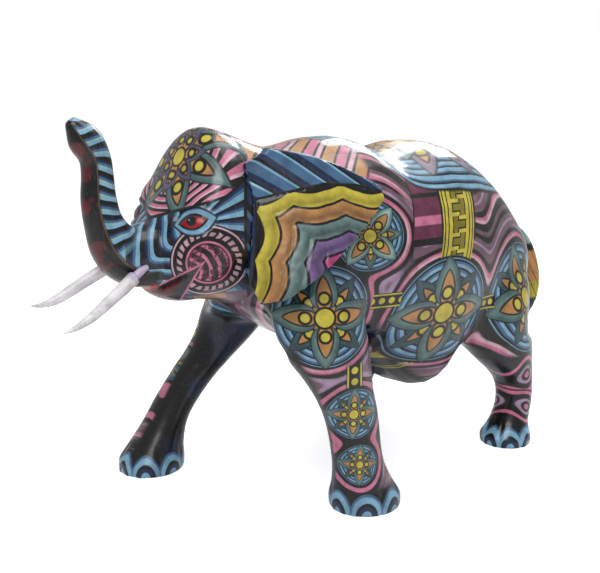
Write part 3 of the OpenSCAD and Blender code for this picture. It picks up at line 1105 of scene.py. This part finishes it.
def saw(obj: bpy.types.Object, block: bpy.types.Object, keep: bool) -> None:
    """Cuts an object with a block, and keeps what is inside it or outside it."""
    work(obj, "BOOLEAN", object=block, operation="INTERSECT" if keep else "DIFFERENCE", solver="MANIFOLD")


def finish_piece(obj: bpy.types.Object, material: bpy.types.Material, slot: str, *nodes: str) -> None:
    """Dresses a finished piece and sets it in the frame.

    Args:
        obj: The piece.
        material: Its finish.
        slot: Not used.
        nodes: The CAD nodes that it stands for.
    """
    obj.data.materials.clear()
    obj.data.materials.append(material)
    pick(obj)
    bpy.ops.object.shade_smooth_by_angle(angle=math.radians(40))
    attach(obj, "root")
    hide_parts(*nodes)
    LOG.info("%s: %d points", obj.name, len(obj.data.vertices))


@dataclass
class Carving:
    """The glued-up body, carved as one skin and sawn back into the blocks that it is made of."""

    voxel: float = 1.1
    neck_x: float = -77.95
    trunk_x: float = -119.95
    seat: float = 22.0
    chest_x: float = -75.95
    front_rear_x: float = -4.95
    front_top_z: float = 140.0
    hind_fore_x: float = 49.05
    hind_rear_x: float = 122.05
    hind_top_z: float = 130.0
    shin_z: float = 35.0
    jaw_z: float = 98.0
    far: float = 400.0
    trunk_line: tuple[tuple[float, float], ...] = (
        (-106, 134), (-117, 131), (-128, 131.5), (-136, 137), (-141, 147), (-143, 158), (-143, 168),
        (-144, 177), (-149, 185), (-155, 192.5))

    feet: tuple[Point3, ...] = ((-30, -55, 18), (-90, 55, 18), (93.5, -49, 15), (55, 50, 15))
    toe_turn: float = math.radians(52)
    swells: tuple[tuple[float, Point3, Point3], ...] = (
        (1.6, (-104, -26, 157), (9, 9, 5)), (-1.2, (-112, -16, 152), (6, 8, 7)),
        (1.0, (-104, -32, 131), (9, 9, 9)), (-1.0, (-92, -36, 142), (6, 8, 5)))

    wood = ("torso", "head", "trunk", "front_left_leg", "front_right_leg", "hind_left_leg",
            "hind_right_leg", "neck_dowels", "trunk_dowel", "front_left_dowel", "front_right_dowel",
            "hind_left_dowel", "hind_right_dowel")

    def shape(self) -> bpy.types.Object:
        """Carves the whole skin."""
        skin = blank_of(self.wood, "skin")
        work(skin, "REMESH", mode="VOXEL", voxel_size=self.voxel * MM)
        places, _ = points_of(skin)
        x, y, z = places.T
        joints = (np.abs(y) > 12) & (z > 56) & (z < 140) & (((x > -95) & (x < 5)) | ((x > 40) & (x < 130)))
        group = skin.vertex_groups.new(name="joints")
        group.add(np.nonzero(joints)[0].tolist(), 1.0, "REPLACE")
        work(skin, "SMOOTH", factor=0.5, iterations=60, vertex_group="joints")
        work(skin, "SMOOTH", factor=0.5, iterations=7)
        self.cut_details(skin)
        return skin

    def cut_details(self, skin: bpy.types.Object) -> None:
        """Carves the mouth, eyes, brow, cheek and toes, and trues the soles."""
        places, normals = points_of(skin)
        flat = places[:, 0] * math.cos(Face.turn) + np.abs(places[:, 1]) * math.sin(Face.turn)
        depth = np.zeros(len(places))
        head = places[:, 0] < self.neck_x
        side = np.abs(normals[:, 1]) > 0.2
        start, end = np.array(Face.lip_corner), np.array((-86.0, 116.5))
        way = (end - start) / np.linalg.norm(end - start)
        offset = np.stack([flat, places[:, 2]], axis=1) - start
        along, beside = offset @ way, offset @ np.array((-way[1], way[0]))
        slit = np.exp(-((beside - 1.0) / 1.1) ** 2) * np.clip((along + 1.0) / 3.0, 0, 1)
        slit *= np.clip((26.0 - along) / 4.0, 0, 1)
        depth -= 2.6 * slit * np.clip(along / 14.0, 0.25, 1.0) * head * side
        eye = np.stack([(flat - Face.eye_at[0]) / 6.6, (places[:, 2] - Face.eye_at[1]) / 3.4], axis=1)
        ring = np.linalg.norm(eye, axis=1)
        ball, rim, lid = (0.9 * np.exp(-(ring / 0.8) ** 2), 0.8 * np.exp(-((ring - 1.15) / 0.22) ** 2),
                          0.7 * np.exp(-((ring - 1.65) / 0.3) ** 2))
        depth += head * side * (ball - rim + lid)
        for height, centre, reach in self.swells:
            depth += height * bump(places, centre, reach)
        for foot_x, foot_y, half in self.feet:
            angle = np.arctan2(np.abs(places[:, 1]) - abs(foot_y), places[:, 0] - foot_x)
            toe = np.mod(angle / self.toe_turn, 1)
            notch = np.exp(-(toe / 0.1) ** 2) + np.exp(-((toe - 1.0) / 0.1) ** 2)
            reach = np.hypot(places[:, 0] - foot_x, places[:, 1] - foot_y)
            near = (reach < 1.7 * half) & (places[:, 2] < 16)
            fade = np.clip((16 - places[:, 2]) / 8, 0, 1) * np.clip(places[:, 2] / 2, 0, 1)
            depth -= 0.7 * notch * near * fade
        places += normals * depth[:, None]
        places[places[:, 2] < 0.7, 2] = 0.0
        carve(skin, places)

    def measure_trunk(self, piece: bpy.types.Object) -> None:
        """Stores how far along the trunk and how far round it each point is."""
        places, _ = points_of(piece)
        line = smooth_line(self.trunk_line, 160)
        steps = np.vstack([[0, 0], np.diff(line, axis=0)])
        stations = np.cumsum(np.hypot(*steps.T))
        tangents = np.gradient(line, axis=0)
        tangents /= np.hypot(*tangents.T)[:, None]
        gaps = places[:, None, [0, 2]] - line[None]
        nearest = (gaps ** 2).sum(axis=2).argmin(axis=1)
        gap, tangent = gaps[np.arange(len(places)), nearest], tangents[nearest]
        back = gap[:, 0] * tangent[:, 1] - gap[:, 1] * tangent[:, 0]
        forth = gap[:, 0] * tangent[:, 0] + gap[:, 1] * tangent[:, 1]
        far = np.maximum(np.hypot(back, places[:, 1]), 1e-6)
        round_it = np.arccos(np.clip(back / far, -1, 1)) / math.pi
        keep_field(piece, "station", stations[nearest] + forth)
        keep_field(piece, "around", round_it)

    def part(self, skin: bpy.types.Object, name: str, keep: Boxes,
             drop: Boxes = ()) -> bpy.types.Object:
        """Saws one block out of the skin.

        Args:
            skin: The whole skin, which stays whole.
            name: The block's name.
            keep: Boxes whose union holds the block, as pairs of corners.
            drop: Boxes cut away from it.

        Returns:
            The block.
        """
        piece = bpy.data.objects.new(name, skin.data.copy())
        bpy.context.scene.collection.objects.link(piece)
        room = box_between(*keep[0])
        for corners in keep[1:]:
            other = box_between(*corners)
            work(room, "BOOLEAN", object=other, operation="UNION", solver="MANIFOLD")
            bpy.data.objects.remove(other)
        saw(piece, room, True)
        bpy.data.objects.remove(room)
        for corners in drop:
            block = box_between(*corners)
            saw(piece, block, False)
            bpy.data.objects.remove(block)
        return piece

    def build(self, finisher: Finisher) -> None:
        """Carves, saws and dresses every block."""
        skin = self.shape()
        far, neck, seat = self.far, self.neck_x, self.seat
        chest, jaw, front_rear = self.chest_x, self.jaw_z, self.front_rear_x
        fore, rear, shin = self.hind_fore_x, self.hind_rear_x, self.shin_z
        whole = ((-far, -far, -10), (far, far, far))
        front = [((-far, -far, -10), (front_rear, -seat, jaw)),
                 ((chest, -far, jaw - 1), (front_rear, -seat, self.front_top_z))]
        hind = [((28, -far, -10), (far, -seat, shin + 1)),
                ((fore, -far, shin), (rear, -seat, self.hind_top_z)),
                ((fore, -far, shin), (far, -seat, 74))]
        head = ((-far, -far, jaw), (neck, far, far))

        def right(boxes: Boxes) -> list[tuple[tuple, tuple]]:
            """The same boxes on the right side."""
            return [((a[0], seat, a[2]), (b[0], far, b[2])) for a, b in boxes]

        torso = self.part(skin, "torso_skin", [whole], [*front, *hind, *right(front), *right(hind), head])
        head_block = self.part(skin, "head_skin", [((self.trunk_x, -far, jaw), (neck, far, far))])
        trunk = self.part(skin, "trunk_skin", [((-far, -far, jaw), (self.trunk_x, far, far))])
        self.measure_trunk(trunk)
        for piece, painter, slot, node in ((torso, finisher.hide, "body_paint", "torso"),
                                           (head_block, finisher.head, "head_paint", "head"),
                                           (trunk, finisher.trunk, "trunk_paint", "trunk")):
            finish_piece(piece, finisher.material(slot, painter, Varnish()), slot, node)
        legs = {
            "front_left": (front, LegDecor((-30, 55, 17), (Wheel(-48, 65, 54, 30, 13, 13.5),
                                                           Wheel(-44, 66, 27, 25, 9.5, 11)), (), 14)),
            "front_right": (right(front), LegDecor((-90, 55, 17), (Wheel(-65, 66, 51, 0, 12, 13),
                                                                   Wheel(-77, 67, 29, 0, 10, 10)), (), 14)),
            "hind_left": (hind, LegDecor((93.5, 49, 14), (), (Wheel(95, 62, 44, -15, 7.5, 9.5),
                                                              Wheel(98, 60, 23, -15, 6.5, 8)), 58)),
            "hind_right": (right(hind), LegDecor((55, 50, 14), (), (Wheel(74, 62, 44, 0, 7.5, 9.5),
                                                                    Wheel(62, 60, 23, 0, 6.5, 8)), 58)),
        }
        for name, (boxes, decor) in legs.items():
            piece = self.part(skin, f"{name}_leg_skin", boxes)
            material = finisher.material(f"{name}_leg_paint", finisher.leg(decor), Varnish())
            finish_piece(piece, material, "leg_paint", f"{name}_leg")
        bpy.data.objects.remove(skin)


@dataclass
class Ears:
    """The two ears: thin bowed sheets, grooved along the fold line and between their painted bands."""

    voxel: float = 0.8
    front_line: tuple[Point3, ...] = ((-87, -27, 112), (-89, -31, 145), (-85, -23, 171))
    edge_line: tuple[Point3, ...] = (
        (-87, -43, 109), (-80, -54, 113), (-63, -60, 125), (-40, -60.5, 142), (-26, -59.5, 159),
        (-40, -53, 168), (-58, -46, 176), (-78, -36, 180))
    fold_keys: tuple[tuple[float, float], ...] = (
        (-90, 155), (-80, 157), (-69, 160), (-56, 163), (-40, 162), (-26, 158))

    def far_from(self, places: np.ndarray, line: Sequence[Sequence[float]]) -> np.ndarray:
        """Distance of each point from a line."""
        points = smooth_line(line, 120)
        return np.sqrt(((places[:, None] - points[None]) ** 2).sum(axis=2).min(axis=1))

    def build(self, finisher: Finisher) -> None:
        """Carves and dresses both ears."""
        material = finisher.material("ear_paint", finisher.ear, Varnish(coat=0.35, coat_roughness=0.2))
        for side in ("left", "right"):
            node = f"{side}_ear"
            ear = blank_of([node], f"{node}_carved")
            work(ear, "REMESH", mode="VOXEL", voxel_size=self.voxel * MM)
            work(ear, "SMOOTH", factor=0.5, iterations=10)
            places, normals = points_of(ear)
            near = places.copy()
            near[:, 1] = -np.abs(near[:, 1])
            front, edge = self.far_from(near, self.front_line), self.far_from(near, self.edge_line)
            fold = np.interp(near[:, 0], *np.array(self.fold_keys).T) - near[:, 2]
            outward = (normals[:, 1] * np.sign(places[:, 1])) > 0
            groove = np.zeros(len(places))
            band = np.minimum(front - 8.5, fold * 1.12)
            for index in range(5):
                groove += np.exp(-((band - 7.9 * index) / 0.9) ** 2)
            quill = np.mod((near[:, 2] + near[:, 0] * 0.75 - 102.5) / 10.4, 1)
            groove += (fold < 0) * (np.exp(-(quill / 0.1) ** 2) + np.exp(-((quill - 1) / 0.1) ** 2))
            places += normals * (-0.55 * groove * outward)[:, None]
            carve(ear, places)
            keep_field(ear, "from_front", front)
            keep_field(ear, "below_fold", fold)
            keep_field(ear, "from_edge", edge)
            finish_piece(ear, material, "ear_paint", node)


@dataclass
class SmallPieces:
    """The tusks, the tail and the hidden dowels."""

    voxel: float = 0.55

    def build(self, finisher: Finisher) -> None:
        """Shapes and dresses them."""
        white = finisher.material("tusk_resin", finisher.tusk, Varnish(coat=0.4, bump=0.06))
        for side, drop, pull in (("left", -3.0, 0.0), ("right", 1.5, 3.5)):
            tusk = blank_of([f"{side}_tusk"], f"{side}_tusk_smooth")
            work(tusk, "REMESH", mode="VOXEL", voxel_size=self.voxel * MM)
            work(tusk, "SMOOTH", factor=0.5, iterations=6)
            places, _ = points_of(tusk)
            way = np.clip((-146 - places[:, 0]) / 27.0, 0, 1) ** 1.5
            places += np.stack([pull * way, 0 * way, drop * way], axis=1)
            carve(tusk, places)
            finish_piece(tusk, white, "tusk", f"{side}_tusk")
        tail = blank_of(["tail"], "tail_smooth")
        work(tail, "REMESH", mode="VOXEL", voxel_size=0.8 * MM)
        work(tail, "SMOOTH", factor=0.5, iterations=8)
        places, normals = points_of(tail)
        turn = np.arctan2(places[:, 1] + 12, places[:, 0] - 160)
        hair = np.sin(turn * 26) * np.clip((96 - places[:, 2]) / 12, 0, 1)
        carve(tail, places + normals * (0.35 * hair)[:, None])
        finish_piece(tail, finisher.material("tail_paint", finisher.tail, Varnish()), "tail_paint", "tail")
        wood = finisher.material("dowel_wood", finisher.dowel, Varnish(coat=0.0, bump=0.4))
        for name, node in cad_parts.items():
            if "dowel" in name:
                node.data.materials.clear()
                node.data.materials.append(wood)


@dataclass
class Studio:
    """The pale floor, the soft lights and the camera."""

    lens: float = 52.8
    eye: tuple[float, float, float] = (-0.32415, -0.3542, 0.2)
    heading: float = 40.0
    dip: float = 11.84
    sky: float = 0.45
    floor_glow: float = 0.65
    floor_side: float = 60.0
    lamps: tuple[tuple[str, Point3, float, float], ...] = (
        ("key", (-0.5, -0.35, 0.75), 0.5, 3.0), ("top", (0.2, -0.05, 0.85), 0.6, 2.4),
        ("rim", (0.6, 0.35, 0.6), 0.4, 2.5))

    def build(self) -> None:
        """Sets the stage."""
        scene = bpy.context.scene
        scene.view_settings.view_transform = "Standard"
        world = bpy.data.worlds.new("studio")
        world.use_nodes = True
        tree = world.node_tree
        seen = tree.nodes.new("ShaderNodeLightPath")
        power = Field(tree, seen.outputs["Is Camera Ray"]) * (1.0 - self.sky) + self.sky
        tree.nodes["Background"].inputs[0].default_value = (1.0, 1.0, 1.0, 1.0)
        tree.links.new(power.socket, tree.nodes["Background"].inputs[1])
        scene.world = world
        self.floor()
        for lamp in self.lamps:
            self.lamp(*lamp)
        camera = bpy.data.cameras.new("camera")
        camera.lens = self.lens
        camera.sensor_width = 36.0
        camera.clip_start = 0.01
        stand = bpy.data.objects.new("camera", camera)
        scene.collection.objects.link(stand)
        stand.location = self.eye
        stand.rotation_euler = (math.radians(90 - self.dip), 0, math.radians(-self.heading))
        scene.camera = stand

    def floor(self) -> None:
        """Lays the floor."""
        bpy.ops.object.select_all(action="DESELECT")
        bpy.ops.mesh.primitive_plane_add(size=self.floor_side)
        floor = bpy.context.view_layer.objects.active
        floor.name = "floor"
        material = bpy.data.materials.new("floor_white")
        material.use_nodes = True
        shader = material.node_tree.nodes["Principled BSDF"]
        shader.inputs["Base Color"].default_value = (0.96, 0.965, 0.98, 1.0)
        shader.inputs["Roughness"].default_value = 0.8
        tree = material.node_tree
        seen = tree.nodes.new("ShaderNodeLightPath")
        glow = Field(tree, seen.outputs["Is Camera Ray"]) * self.floor_glow
        shader.inputs["Emission Color"].default_value = (0.97, 0.98, 1.0, 1.0)
        tree.links.new(glow.socket, shader.inputs["Emission Strength"])
        floor.data.materials.append(material)

    def lamp(self, name: str, place: tuple[float, float, float], size: float, power: float) -> None:
        """Hangs a soft lamp that points at the figure."""
        light = bpy.data.lights.new(name, "AREA")
        light.shape = "DISK"
        light.size = size
        light.energy = power
        lamp = bpy.data.objects.new(name, light)
        bpy.context.scene.collection.objects.link(lamp)
        lamp.location = place
        lamp.rotation_euler = (Vector((0, 0, 0.1)) - Vector(place)).to_track_quat("-Z", "Y").to_euler()


def main() -> None:
    """Builds every piece in order."""
    logging.basicConfig(level=logging.INFO, format="%(name)s %(message)s")
    finisher = Finisher()
    Carving().build(finisher)
    Ears().build(finisher)
    SmallPieces().build(finisher)
    Studio().build()


if __name__ == "__main__":
    main()
